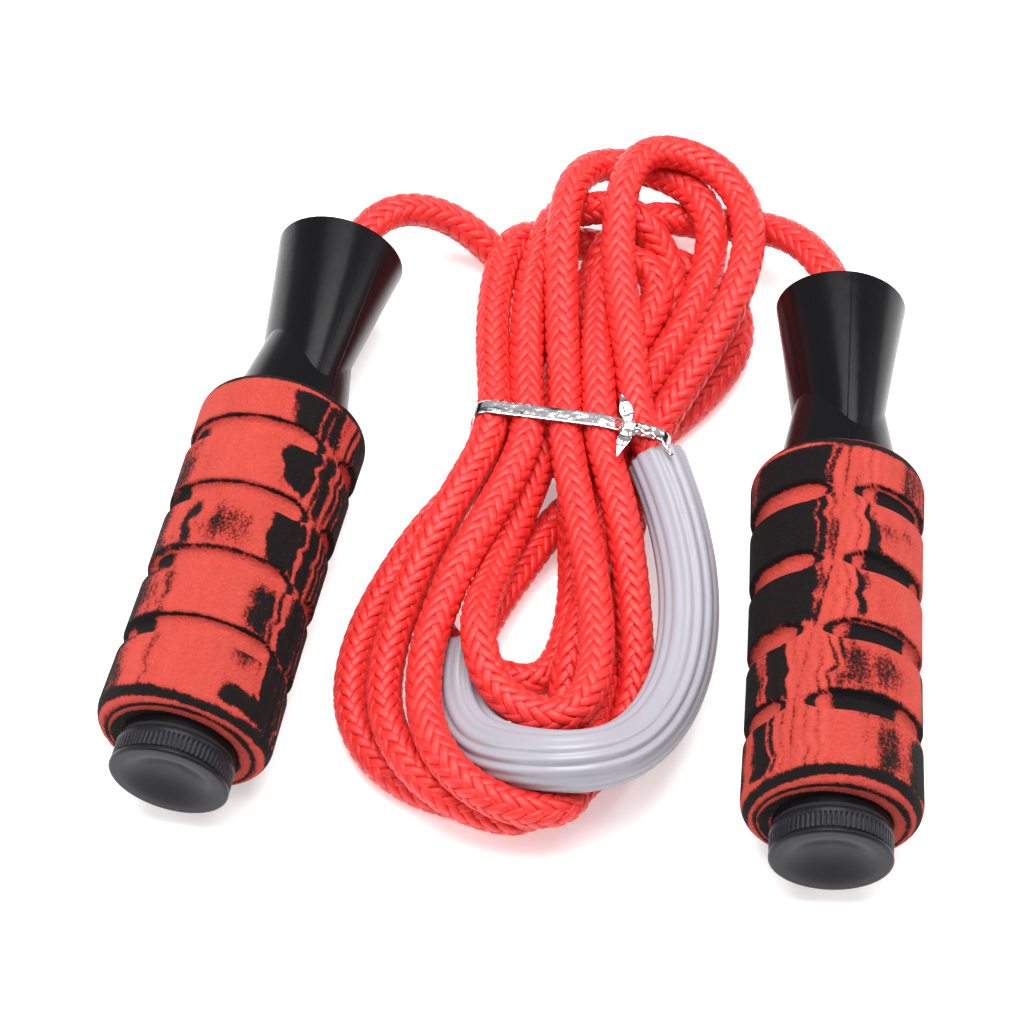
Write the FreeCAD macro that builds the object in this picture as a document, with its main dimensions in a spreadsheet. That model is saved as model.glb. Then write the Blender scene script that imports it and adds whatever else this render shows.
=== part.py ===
"""Jump rope: two foam-gripped swivel handles, a braided rope tied in a hank, a clear sleeve and a twist tie.

Units are millimetres. +Z is up and z = 0 is the surface that the rope lies on. Both handles lie
side by side, with their end caps towards -Y and their horns towards +Y. Each handle is made along
its own Z axis, from the face of the end cap (station 0) to the mouth of the horn, and is then laid
down so that its mouth is at the place where the rope comes out of it.
"""
import FreeCAD, Part
import math
import os
import Sketcher

V = FreeCAD.Vector

SIZES = {
    # end cap
    "cap_step": 0.5,
    "cap_length": 6.6,
    "flange_length": 1.0,
    "flange_groove_width": 0.5,
    "flange_groove_depth": 0.5,
    "dish_radius": 8.6,
    "dish_depth": 2.6,
    "plug_length": 8.5,
    "plug_wall": 2.4,
    "plug_floor": 2.0,
    "plug_clearance": 0.08,
    "knurl_count": 72,
    "knurl_cut_radius": 0.36,
    "seal_thickness": 1.0,
    "seal_inset": 0.15,
    # handle body
    "tube_wall": 2.0,
    "collar_length": 1.7,
    "neck_base_step": 1.2,
    "neck_length": 23.5,
    "neck_tip_radius": 9.8,
    "horn_foot_offset": 7.0,
    "horn_foot_wide": 12.7,
    "horn_foot_narrow": 8.4,
    "horn_mid_offset": 29.5,
    "horn_mid_wide": 14.4,
    "horn_mid_narrow": 11.9,
    "horn_offset": 49.5,
    "mouth_radius": 15.35,
    "mouth_wall": 1.35,
    "throat_length": 14.5,
    "throat_clearance": 0.4,
    # foam grip
    "grip_radius": 20.0,
    "grip_length": 89.2,
    "grip_end_inset": 4.5,
    "grip_end_round": 7.0,
    "groove_first": 19.7,
    "groove_last": 15.2,
    "groove_count": 4,
    "groove_width": 5.0,
    "groove_depth": 2.2,
    # ball bearing, 22 x 8 x 7
    "bearing_radius": 11.0,
    "bearing_bore_radius": 4.0,
    "bearing_width": 7.0,
    "bearing_setback": 1.0,
    "outer_race_share": 0.2857143,
    "inner_race_share": 0.3,
    "ball_share": 0.28357,
    "ball_count": 7,
    "ball_clearance": 0.03,
    "cage_share": 0.1714286,
    "cage_width": 5.2,
    "pocket_clearance": 0.06,
    # retaining ring
    "ring_thickness": 1.2,
    "ring_bite": 0.7,
    "ring_reach": 1.4,
    "ring_gap": 5.0,
    # swivel spindle, washer and lock nut
    "cup_radius": 6.0,
    "cup_length": 16.5,
    "cup_floor": 2.0,
    "spindle_tail": 1.0,
    "washer_thickness": 1.2,
    "nut_flats": 13.0,
    "nut_height": 6.5,
    # rope, sleeve and tie
    "rope_diameter": 8.5,
    "hank_height": 22.0,
    "hank_round": 7.0,
    "sleeve_diameter": 14.0,
    "sleeve_wall": 1.0,
    "tie_width": 3.4,
    "tie_thickness": 0.4,
    "tie_side": 46.4,
    "tie_turn": -7.5,
    "knot_radius": 2.4,
    "knot_rise": 0.6,
    "flag_rise": 1.4,
    "flag_start": 1.6,
    "tie_tail_radius": 0.9,
    # where the rope comes out of each horn, and how the handles lie
    "left_mouth_x": -43.318,
    "left_mouth_y": 80.534,
    "left_yaw": 13.0,
    "left_roll": 33.0,
    "right_mouth_x": 76.422,
    "right_mouth_y": 64.594,
    "right_yaw": 4.0,
    "right_roll": 20.0,
}

# Routes of the two rope leads beyond the horns, hand-laid: out of the horn, down and into the hank.
LEAD_BEND = {
    "left": [(-40.5, 82, 20), (-36, 93.5, 20), (-26, 99, 18.5), (-14, 98.5, 14), (-4, 93, 9.5), (5, 84, 7)],
    "right": [(77.5, 66, 20), (73.5, 79, 20), (67, 89.5, 18), (57, 97, 14), (45, 101, 10), (33, 102, 8)],
}
# The straight stretch inside the horn ends this far from the mouth.
LEAD_STRAIGHT_END = 24.0

# Centre line of the sleeve, which follows the outermost turn of the hank.
SLEEVE_ROUTE = [
    (33.5, 24, 17), (36.5, 6, 16.5), (38.5, -12, 16), (36.5, -31, 16), (28, -48.5, 16.5), (14, -60, 17),
    (-3, -60.5, 17), (-13.5, -49, 15), (-16.5, -33, 13), (-14, -18, 12),
]

# Where the tie's band starts and its knot; the ends' reach is taken from the knot.
BAND_START = (-10.4, 35.6)
KNOT = (25.0, 30.4)
FLAG_TIPS = {"tie_flag_upper": (-2.0, 8.1, 3.6), "tie_flag_lower": (-2.5, -8.4, 2.4)}
TAIL_REACH = [(1.6, -0.8, 1.2), (4.6, -2.0, 1.8), (7.4, -4.2, 1.4), (9.6, -7.6, 0.6)]

# Plan outline of the tied hank: one smooth closed curve through these points.
HANK_OUTLINE = [
    (-10, 34), (-10, 52), (-9, 76), (-4, 93), (6, 103), (17, 114), (32, 118), (45, 118), (57, 108),
    (61, 94), (59, 74), (54, 55), (42, 38), (37, 30), (38, 22), (41, 10), (43, -8), (41, -28), (33, -50),
    (17, -66), (-5, -70), (-28, -58), (-41, -38), (-41, -14), (-29, 5), (-18, 20),
]

doc = FreeCAD.newDocument("jump_rope")
sheet = doc.addObject("Spreadsheet::Sheet", "sizes")
for row, (alias, number) in enumerate(SIZES.items(), start=1):
    sheet.set(f"A{row}", alias)
    sheet.set(f"B{row}", str(number))
    sheet.setAlias(f"B{row}", alias)
doc.recompute()


def size(name):
    """The current value of one cell of the sheet."""
    return float(sheet.get(name))


def cell(name):
    """A cell of the sheet, as it is written in an expression."""
    return "sizes." + name


def plus(*terms):
    """The sum of some cells or expressions."""
    return " + ".join(terms)


# Stations along a handle, as expressions.
CAP_BACK = cell("cap_length")
PLUG_END = plus(CAP_BACK, cell("plug_length"))
TUBE_BACK = plus(CAP_BACK, cell("seal_thickness"))
GRIP_BACK = plus(TUBE_BACK, cell("collar_length"))
GRIP_FRONT = plus(GRIP_BACK, cell("grip_length"))
NECK_TIP = plus(GRIP_FRONT, cell("neck_length"))
HORN_FOOT = plus(GRIP_FRONT, cell("horn_foot_offset"))
HORN_MID = plus(GRIP_FRONT, cell("horn_mid_offset"))
MOUTH = plus(GRIP_FRONT, cell("horn_offset"))
SEAT = GRIP_FRONT + " - " + cell("bearing_setback")
BEARING_BACK = SEAT + " - " + cell("bearing_width")
BEARING_MID = SEAT + " - " + cell("bearing_width") + " / 2"
RING_BACK = BEARING_BACK + " - " + cell("ring_thickness")
WASHER_BACK = BEARING_BACK + " - " + cell("washer_thickness")
NUT_BACK = WASHER_BACK + " - " + cell("nut_height")
SPINDLE_BACK = NUT_BACK + " - " + cell("spindle_tail")
CUP_FLOOR = plus(SEAT, cell("cup_floor"))
CUP_FRONT = plus(SEAT, cell("cup_length"))
THROAT_END = plus(SEAT, cell("throat_length"))

# Radii, as expressions.
TUBE_BORE = cell("bearing_radius")
TUBE_RADIUS = plus(cell("bearing_radius"), cell("tube_wall"))
CAP_RADIUS = plus(TUBE_RADIUS, cell("cap_step"))
PLUG_RADIUS = TUBE_BORE + " - " + cell("plug_clearance")
THROAT_RADIUS = plus(cell("cup_radius"), cell("throat_clearance"))
RING_OUTER = plus(TUBE_BORE, cell("ring_bite"))
RING_INNER = cell("bearing_radius") + " - " + cell("ring_reach")
# The bearing's radial room between bore and outside, which its races, balls and cage share out.
BEARING_ROOM = f"({cell('bearing_radius')} - {cell('bearing_bore_radius')})"
OUTER_RACE_INNER = f"{cell('bearing_radius')} - {BEARING_ROOM} * {cell('outer_race_share')}"
INNER_RACE_OUTER = f"{cell('bearing_bore_radius')} + {BEARING_ROOM} * {cell('inner_race_share')}"
BALL_CIRCLE = f"({cell('bearing_bore_radius')} + {cell('bearing_radius')}) / 2"
BALL_RADIUS = f"{BEARING_ROOM} * {cell('ball_share')}"
CAGE_INNER = f"{BALL_CIRCLE} - {BEARING_ROOM} * {cell('cage_share')} / 2"
CAGE_OUTER = f"{BALL_CIRCLE} + {BEARING_ROOM} * {cell('cage_share')} / 2"
ROPE_RADIUS = cell("rope_diameter") + " / 2"


def worked_out(expression):
    """The number that an expression over the sheet comes to."""
    return float(sheet.evalExpression(expression.replace("sizes.", "")))


def laid_down(side):
    """The Placement that lays a handle made along Z on its grip, with its mouth where the rope leaves it."""
    yaw = math.radians(size(side + "_yaw"))
    roll = math.radians(size(side + "_roll"))
    along = V(math.sin(yaw), math.cos(yaw), 0)
    right = V(math.cos(yaw), -math.sin(yaw), 0)
    up = V(0, 0, 1)
    local_x = up * math.cos(roll) + right * math.sin(roll)
    local_y = along.cross(local_x)
    turn = FreeCAD.Rotation(local_x, local_y, along, "ZXY")
    mouth = V(size(side + "_mouth_x"), size(side + "_mouth_y"), size("grip_radius"))
    return FreeCAD.Placement(mouth - along * worked_out(MOUTH), turn)


def origin_plane(body, role):
    """One of a body's own origin planes."""
    for feature in body.Origin.OriginFeatures:
        if feature.Role == role:
            return feature
    raise ValueError(role)


def turned(label, outline):
    """A body turned about Z from a closed outline of (radius, station) expressions."""
    body = doc.addObject("PartDesign::Body", label)
    sketch = body.newObject("Sketcher::SketchObject", label + "_outline")
    sketch.AttachmentSupport = (origin_plane(body, "XZ_Plane"), [""])
    sketch.MapMode = "FlatFace"
    corners = [V(worked_out(radius), worked_out(station), 0) for radius, station in outline]
    count = len(corners)
    for index in range(count):
        sketch.addGeometry(Part.LineSegment(corners[index], corners[(index + 1) % count]))
    for index in range(count):
        sketch.addConstraint(Sketcher.Constraint("Coincident", index, 2, (index + 1) % count, 1))
    for index, (radius, station) in enumerate(outline):
        corner = corners[index]
        for kind, expression, value in (("DistanceX", radius, corner.x), ("DistanceY", station, corner.y)):
            number = sketch.addConstraint(Sketcher.Constraint(kind, -1, 1, index, 1, value))
            sketch.setExpression(f"Constraints[{number}]", expression)
    revolution = body.newObject("PartDesign::Revolution", label + "_turning")
    revolution.Profile = sketch
    revolution.ReferenceAxis = (sketch, ["V_Axis"])
    revolution.Angle = 360
    doc.recompute()
    return body


def cylinder(label, radius, station, length):
    """A solid cylinder about Z, from a station, with its sizes bound to expressions."""
    solid = doc.addObject("Part::Cylinder", label)
    solid.setExpression("Radius", radius)
    solid.setExpression("Height", length)
    solid.setExpression("Placement.Base.z", station)
    return solid


def combine(kind, label, **links):
    """A Part boolean of the given kind."""
    result = doc.addObject("Part::" + kind, label)
    for name, value in links.items():
        setattr(result, name, value)
    return result


def shaped(label, shape):
    """A document object that holds a shape made with Part's own functions."""
    feature = doc.addObject("Part::Feature", label)
    feature.Shape = shape
    return feature


def ellipse(label, wide, narrow, station):
    """An elliptical section across the handle, wide along X."""
    section = doc.addObject("Part::Ellipse", label)
    section.setExpression("MajorRadius", wide)
    section.setExpression("MinorRadius", narrow)
    section.setExpression("Placement.Base.z", station)
    return section


def make_end_cap(side):
    """Knurled cap with a thin face flange, a dished face and a hollow plug that screws into the tube."""
    face = CAP_RADIUS
    waist = CAP_RADIUS + " - " + cell("flange_groove_depth")
    groove_back = plus(cell("flange_length"), cell("flange_groove_width"))
    plug_inside = PLUG_RADIUS + " - " + cell("plug_wall")
    floor = plus(cell("dish_depth"), cell("plug_floor"))
    blank = turned("cap_blank_" + side, [
        ("0", "0"), (face, "0"), (face, cell("flange_length")), (waist, cell("flange_length")),
        (waist, groove_back), (face, groove_back), (face, CAP_BACK), (PLUG_RADIUS, CAP_BACK),
        (PLUG_RADIUS, PLUG_END), (plug_inside, PLUG_END), (plug_inside, floor), ("0", floor)])
    knurl = blank.newObject("Sketcher::SketchObject", "knurl_outline_" + side)
    knurl.AttachmentSupport = (origin_plane(blank, "XY_Plane"), [""])
    knurl.MapMode = "FlatFace"
    knurl.setExpression("AttachmentOffset.Base.z", groove_back)
    ridge = Part.Circle(V(worked_out(CAP_RADIUS), 0, 0), V(0, 0, 1), size("knurl_cut_radius"))
    knurl.addGeometry(ridge)
    radius = knurl.addConstraint(Sketcher.Constraint("Radius", 0, size("knurl_cut_radius")))
    knurl.setExpression(f"Constraints[{radius}]", cell("knurl_cut_radius"))
    reach = knurl.addConstraint(Sketcher.Constraint("DistanceX", -1, 1, 0, 3, worked_out(CAP_RADIUS)))
    knurl.setExpression(f"Constraints[{reach}]", CAP_RADIUS)
    knurl.addConstraint(Sketcher.Constraint("PointOnObject", 0, 3, -1))
    slot = blank.newObject("PartDesign::Pocket", "knurl_slot_" + side)
    slot.Profile = knurl
    slot.Reversed = True
    slot.setExpression("Length", f"{CAP_BACK} - {cell('flange_length')} - {cell('flange_groove_width')}")
    doc.recompute()
    pattern = blank.newObject("PartDesign::PolarPattern", "knurl_" + side)
    pattern.Originals = [slot]
    pattern.Axis = (knurl, ["N_Axis"])
    pattern.Angle = 360
    pattern.setExpression("Occurrences", cell("knurl_count"))
    blank.Tip = pattern
    dish = doc.addObject("Part::Sphere", "dish_" + side)
    rim_squared = f"{cell('dish_radius')} ^ 2 + {cell('dish_depth')} ^ 2"
    ball = f"({rim_squared}) / (2 * {cell('dish_depth')})"
    dish.setExpression("Radius", ball)
    dish.setExpression("Placement.Base.z", f"{cell('dish_depth')} - {ball}")
    return combine("Cut", "end_cap_" + side, Base=blank, Tool=dish)


def make_handle_body(side):
    """Tube, cone-shaped neck and flared horn in one moulding, bored for the bearing and the rope."""
    neck_base = plus(TUBE_RADIUS, cell("neck_base_step"))
    outside = turned("tube_and_neck_" + side, [
        ("0", TUBE_BACK), (TUBE_RADIUS, TUBE_BACK), (TUBE_RADIUS, GRIP_FRONT),
        (neck_base, GRIP_FRONT), (cell("neck_tip_radius"), NECK_TIP), ("0", NECK_TIP)])
    horn = combine("Loft", "horn_" + side, Solid=True, Sections=[
        ellipse("horn_foot_" + side, cell("horn_foot_wide"), cell("horn_foot_narrow"), HORN_FOOT),
        ellipse("horn_mid_" + side, cell("horn_mid_wide"), cell("horn_mid_narrow"), HORN_MID),
        ellipse("horn_mouth_" + side, cell("mouth_radius"), cell("mouth_radius"), MOUTH)])
    mouth_bore = cell("mouth_radius") + " - " + cell("mouth_wall")
    hollow = turned("handle_hollow_" + side, [
        ("0", TUBE_BACK), (TUBE_BORE, TUBE_BACK), (TUBE_BORE, RING_BACK), (RING_OUTER, RING_BACK),
        (RING_OUTER, BEARING_BACK), (TUBE_BORE, BEARING_BACK), (TUBE_BORE, SEAT), (THROAT_RADIUS, SEAT),
        (THROAT_RADIUS, THROAT_END), (mouth_bore, MOUTH), ("0", MOUTH)])
    solid = combine("MultiFuse", "handle_outside_" + side, Shapes=[outside, horn])
    return combine("Cut", "handle_body_" + side, Base=solid, Tool=hollow)


def make_foam_grip(side):
    """Foam sleeve with rounded ends and four ring grooves between five ribs."""
    outer = cell("grip_radius")
    end = outer + " - " + cell("grip_end_inset")
    shoulder = outer + " - " + cell("grip_end_inset") + " / 4"
    middle = f"{cell('grip_end_round')} / 3"
    bottom = outer + " - " + cell("groove_depth")
    half = f"{cell('groove_width')} / 2"
    flat = f"{cell('groove_width')} / 5"
    spread = f"({cell('grip_length')} - {cell('groove_first')} - {cell('groove_last')})"
    pitch = f"{spread} / ({cell('groove_count')} - 1)"
    outline = [(TUBE_RADIUS, GRIP_BACK), (end, GRIP_BACK), (shoulder, plus(GRIP_BACK, middle)),
               (outer, plus(GRIP_BACK, cell("grip_end_round")))]
    for number in range(int(size("groove_count"))):
        centre = f"{GRIP_BACK} + {cell('groove_first')} + {number} * {pitch}"
        outline += [(outer, f"{centre} - {half}"), (bottom, f"{centre} - {flat}"),
                    (bottom, f"{centre} + {flat}"), (outer, f"{centre} + {half}")]
    outline += [(outer, GRIP_FRONT + " - " + cell("grip_end_round")), (shoulder, f"{GRIP_FRONT} - {middle}"),
                (end, GRIP_FRONT), (TUBE_RADIUS, GRIP_FRONT)]
    return turned("foam_grip_" + side, outline)


def ring_of_balls(label, radius):
    """The bearing's balls, as spheres of the given radius on the ball circle."""
    balls = []
    for number in range(int(size("ball_count"))):
        ball = doc.addObject("Part::Sphere", f"{label}_{number}")
        turn = f"{number} * 360 deg / {cell('ball_count')}"
        ball.setExpression("Radius", radius)
        ball.setExpression("Placement.Base.x", f"{BALL_CIRCLE} * cos({turn})")
        ball.setExpression("Placement.Base.y", f"{BALL_CIRCLE} * sin({turn})")
        ball.setExpression("Placement.Base.z", BEARING_MID)
        balls.append(ball)
    return combine("Compound", label, Links=balls)


def make_bearing(side):
    """Deep-groove ball bearing: two races, a cage and its balls."""
    groove = worked_out(BALL_RADIUS) + size("ball_clearance")
    track = Part.makeTorus(worked_out(BALL_CIRCLE), groove, V(0, 0, worked_out(BEARING_MID)))
    foot = V(0, 0, worked_out(BEARING_BACK))
    width = size("bearing_width")
    races = []
    for name, inner, outer in (
            ("bearing_outer_race_", OUTER_RACE_INNER, cell("bearing_radius")),
            ("bearing_inner_race_", cell("bearing_bore_radius"), INNER_RACE_OUTER)):
        hole = Part.makeCylinder(worked_out(inner), width, foot)
        blank = Part.makeCylinder(worked_out(outer), width, foot).cut(hole)
        race = shaped(name + side, blank.cut(track))
        if race.Shape.Volume > 0.97 * blank.Volume:
            raise ValueError(race.Label + " has no ball groove")
        races.append(race)
    back = f"{BEARING_MID} - {cell('cage_width')} / 2"
    front = f"{BEARING_MID} + {cell('cage_width')} / 2"
    hoop = turned("cage_hoop_" + side, [
        (CAGE_INNER, back), (CAGE_OUTER, back),
        (CAGE_OUTER, front), (CAGE_INNER, front)])
    pockets = ring_of_balls("cage_pockets_" + side, plus(BALL_RADIUS, cell("pocket_clearance")))
    cage = combine("Cut", "bearing_cage_" + side, Base=hoop, Tool=pockets)
    balls = ring_of_balls("bearing_balls_" + side, BALL_RADIUS)
    return races + [cage, balls]


def make_retaining_ring(side):
    """Open snap ring that holds the outer race against its seat."""
    hoop = turned("ring_hoop_" + side, [
        (RING_INNER, RING_BACK), (RING_OUTER, RING_BACK),
        (RING_OUTER, BEARING_BACK), (RING_INNER, BEARING_BACK)])
    gap = doc.addObject("Part::Box", "ring_opening_" + side)
    gap.setExpression("Length", RING_OUTER)
    gap.setExpression("Width", cell("ring_gap"))
    gap.setExpression("Height", cell("ring_thickness"))
    gap.setExpression("Placement.Base.y", "-" + cell("ring_gap") + " / 2")
    gap.setExpression("Placement.Base.z", RING_BACK)
    return combine("Cut", "retaining_ring_" + side, Base=hoop, Tool=gap)


def make_swivel(side):
    """Spindle with a crimp cup for the rope's end, its washer and its lock nut."""
    shaft = cell("bearing_bore_radius")
    spindle = turned("swivel_spindle_" + side, [
        ("0", SPINDLE_BACK), (shaft, SPINDLE_BACK), (shaft, SEAT), (cell("cup_radius"), SEAT),
        (cell("cup_radius"), CUP_FRONT), (ROPE_RADIUS, CUP_FRONT), (ROPE_RADIUS, CUP_FLOOR),
        ("0", CUP_FLOOR)])
    washer = turned("spindle_washer_" + side, [
        (shaft, WASHER_BACK), (cell("cup_radius"), WASHER_BACK), (cell("cup_radius"), BEARING_BACK),
        (shaft, BEARING_BACK)])
    hexagon = doc.addObject("Part::Prism", "nut_blank_" + side)
    hexagon.Polygon = 6
    hexagon.setExpression("Circumradius", cell("nut_flats") + " / (2 * cos(30 deg))")
    hexagon.setExpression("Height", cell("nut_height"))
    hexagon.setExpression("Placement.Base.z", NUT_BACK)
    hole = cylinder("nut_hole_" + side, shaft, NUT_BACK, cell("nut_height"))
    nut = combine("Cut", "spindle_locknut_" + side, Base=hexagon, Tool=hole)
    return [spindle, washer, nut]


def make_cap_seal(side):
    """Flat rubber washer between the end cap and the tube."""
    outer = TUBE_RADIUS + " - " + cell("seal_inset")
    inner = plus(TUBE_BORE, cell("plug_clearance"))
    return turned("cap_seal_" + side, [
        (inner, CAP_BACK), (outer, CAP_BACK), (outer, TUBE_BACK), (inner, TUBE_BACK)])


def rounded_route(points):
    """Straight runs joined by tangent arcs, each arc as large as its two runs allow; also the arcs' radii."""
    edges = []
    radii = []
    start = points[0]
    for before, corner, after in zip(points, points[1:], points[2:]):
        back = (before - corner).normalize()
        ahead = (after - corner).normalize()
        half_turn = (math.pi - back.getAngle(ahead)) / 2
        cut = 0.45 * min(before.distanceToPoint(corner), after.distanceToPoint(corner))
        radius = cut / math.tan(half_turn)
        inward = (back + ahead).normalize()
        middle = corner + inward * (radius / math.cos(half_turn) - radius)
        first = corner + back * cut
        last = corner + ahead * cut
        edges.append(Part.LineSegment(start, first).toShape())
        edges.append(Part.Arc(first, middle, last).toShape())
        radii.append(radius)
        start = last
    edges.append(Part.LineSegment(start, points[-1]).toShape())
    return Part.Wire(edges), radii


def tube(label, points, radius):
    """A round solid along a route; prints the route's length and its arcs' radii, and checks the volume."""
    path, radii = rounded_route([V(*point) for point in points])
    direction = V(*points[1]) - V(*points[0])
    circle = Part.Wire([Part.Circle(V(*points[0]), direction, radius).toShape()])
    solid = path.makePipeShell([circle], True, False)
    expected = math.pi * radius ** 2 * path.Length
    print(f"{label}: route {path.Length:.1f} mm, radii {[round(r, 1) for r in radii]}, "
          f"volume {solid.Volume:.0f} of {expected:.0f} mm3")
    if abs(solid.Volume - expected) > 0.01 * expected:
        raise ValueError(label + " lost its section")
    return solid


def lead_route(side):
    """A lead from the floor of its crimp cup, straight through the throat, then round into the hank."""
    frame = laid_down(side)
    inside = [frame.multVec(V(0, 0, worked_out(CUP_FLOOR))),
              frame.multVec(V(0, 0, worked_out(MOUTH) - LEAD_STRAIGHT_END))]
    return [(p.x, p.y, p.z) for p in inside] + LEAD_BEND[side]


def make_sleeve():
    """Clear tube around the outermost turn of the hank."""
    outer = tube("sleeve outside", SLEEVE_ROUTE, size("sleeve_diameter") / 2)
    inner = tube("sleeve inside", SLEEVE_ROUTE, size("sleeve_diameter") / 2 - size("sleeve_wall"))
    return shaped("pvc_sleeve", outer.cut(inner))


def make_hank():
    """One closed solid of the tied hank's outer shape, with a narrow waist where the tie holds it."""
    body = doc.addObject("PartDesign::Body", "rope_hank")
    sketch = body.newObject("Sketcher::SketchObject", "hank_outline")
    sketch.AttachmentSupport = (origin_plane(body, "XY_Plane"), [""])
    sketch.MapMode = "FlatFace"
    outline = Part.BSplineCurve()
    outline.interpolate([V(x, y, 0) for x, y in HANK_OUTLINE], PeriodicFlag=True)
    sketch.addGeometry(outline)
    pad = body.newObject("PartDesign::Pad", "hank_pad")
    pad.Profile = sketch
    pad.setExpression("Length", cell("hank_height"))
    doc.recompute()
    top = [f"Edge{number}" for number, edge in enumerate(pad.Shape.Edges, start=1)
           if min(vertex.Z for vertex in edge.Vertexes) > size("hank_height") / 2]
    rounding = body.newObject("PartDesign::Fillet", "hank_rounding")
    rounding.Base = (pad, top)
    rounding.setExpression("Radius", cell("hank_round"))
    return body


def make_tie():
    """Foil twist tie: a band round the waist, a knot, two flat ends and a twisted tail."""
    height = plus(cell("hank_height"), cell("tie_thickness"))
    outer = doc.addObject("Part::Box", "tie_outside")
    inner = doc.addObject("Part::Box", "tie_inside")
    outer.setExpression("Length", plus(cell("tie_side"), "2 * " + cell("tie_thickness")))
    inner.setExpression("Length", cell("tie_side"))
    outer.setExpression("Height", height)
    inner.setExpression("Height", cell("hank_height"))
    for box in (outer, inner):
        box.setExpression("Width", cell("tie_width"))
    inner.setExpression("Placement.Base.x", cell("tie_thickness"))
    band = combine("Cut", "tie_band", Base=outer, Tool=inner)
    band.Placement = FreeCAD.Placement(V(*BAND_START, 0), FreeCAD.Rotation(V(0, 0, 1), size("tie_turn")))
    centre = V(*KNOT, size("hank_height") + size("tie_thickness"))
    radius = size("knot_radius")
    ball = Part.makeSphere(radius, centre + V(0, 0, size("knot_rise")))
    above = Part.makeBox(2 * radius, 2 * radius, 2 * radius, centre - V(radius, radius, 0))
    knot = shaped("tie_knot", ball.common(above))
    root = centre + V(0, 0, size("flag_rise"))
    corner = V(-size("tie_width") / 2, size("flag_start"), 0)
    flags = []
    for label, reach in FLAG_TIPS.items():
        run = centre + V(*reach) - root
        flag = shaped(label, Part.makeBox(size("tie_width"), run.Length, size("tie_thickness"), corner))
        across = run.cross(V(0, 0, 1)).normalize()
        flag.Placement = FreeCAD.Placement(root, FreeCAD.Rotation(across, run, V(0, 0, 1), "YXZ"))
        flags.append(flag)
    tail_route = [centre + V(*reach) for reach in TAIL_REACH]
    tail = shaped("tie_tail", tube("tie_tail", tail_route, size("tie_tail_radius")))
    return [band, knot] + flags + [tail]


pieces = []
for side in ("left", "right"):
    handle = [make_handle_body(side), make_foam_grip(side), make_end_cap(side), make_cap_seal(side)]
    handle += make_bearing(side) + [make_retaining_ring(side)] + make_swivel(side)
    doc.recompute()
    for piece in handle:
        piece.Placement = laid_down(side)
    lead = shaped("rope_lead_" + side, tube("rope_lead_" + side, lead_route(side), worked_out(ROPE_RADIUS)))
    pieces += handle + [lead]
pieces += [make_hank(), make_sleeve()] + make_tie()
doc.recompute()

for item in doc.Objects:
    if "Invalid" in item.State or "Error" in item.State:
        raise ValueError(f"{item.Label} did not compute: {item.State}")
for piece in pieces:
    if piece.Shape.isNull() or not piece.Shape.isValid() or not piece.Shape.Solids:
        raise ValueError(piece.Label + " has no valid solid")

os.makedirs("parts", exist_ok=True)
for piece in pieces:
    piece.Shape.exportStep(os.path.join("parts", piece.Label + ".step"))
    print(f"{piece.Label}: {len(piece.Shape.Solids)} solid(s), {piece.Shape.Volume:.0f} mm3")
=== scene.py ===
"""Looks of the jump rope: braided rope, fluted sleeve, foil tie, marbled grips, plastic and metal.

Lengths are written in millimetres and turned into metres by MM.
"""
import math
import bpy
import numpy as np
from mathutils import Matrix, Vector
from mathutils.bvhtree import BVHTree


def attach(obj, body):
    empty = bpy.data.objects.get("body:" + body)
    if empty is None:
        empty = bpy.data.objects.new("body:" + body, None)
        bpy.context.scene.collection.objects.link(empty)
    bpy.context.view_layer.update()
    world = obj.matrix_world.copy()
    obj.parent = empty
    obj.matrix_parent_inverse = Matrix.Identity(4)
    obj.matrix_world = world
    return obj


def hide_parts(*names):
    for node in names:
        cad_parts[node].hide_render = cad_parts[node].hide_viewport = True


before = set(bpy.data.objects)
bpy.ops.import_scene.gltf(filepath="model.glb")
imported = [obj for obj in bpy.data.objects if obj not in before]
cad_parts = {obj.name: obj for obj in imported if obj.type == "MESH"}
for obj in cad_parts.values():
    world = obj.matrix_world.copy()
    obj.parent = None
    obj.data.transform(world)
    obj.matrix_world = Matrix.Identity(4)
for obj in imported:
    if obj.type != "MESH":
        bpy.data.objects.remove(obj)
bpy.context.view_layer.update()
MM = 0.001
scene = bpy.context.scene

# ---------------------------------------------------------------- camera
# A scratch fit to both handles' outlines gave these three.
CAMERA_PLACE = (-2.0, -409.77, 643.18)
CAMERA_TILT = 33.7566
CAMERA_LENS = 115.2

camera = bpy.data.objects.new("camera", bpy.data.cameras.new("camera"))
camera.data.lens = CAMERA_LENS
camera.data.sensor_width = 36
camera.data.clip_start = 0.05
camera.data.clip_end = 20
camera.location = [v * MM for v in CAMERA_PLACE]
camera.rotation_euler = (math.radians(CAMERA_TILT), 0, 0)
scene.collection.objects.link(camera)
scene.camera = camera
scene.view_settings.view_transform = "Standard"


# ---------------------------------------------------------------- helpers
def link(name, mesh):
    """A new object in the scene for a mesh."""
    made = bpy.data.objects.new(name, mesh)
    scene.collection.objects.link(made)
    return made


def grid_faces(rings, sides, round_ring, round_path, first=0):
    """Quads of a grid of points, closed round each ring, along the path, or both."""
    across = sides if round_ring else sides - 1
    along = rings if round_path else rings - 1
    i, j = np.meshgrid(np.arange(along), np.arange(across), indexing="ij")
    nxt_i, nxt_j = (i + 1) % rings, (j + 1) % sides
    quads = np.stack([i * sides + j, i * sides + nxt_j, nxt_i * sides + nxt_j, nxt_i * sides + j], -1)
    return quads.reshape(-1, 4) + first


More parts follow.
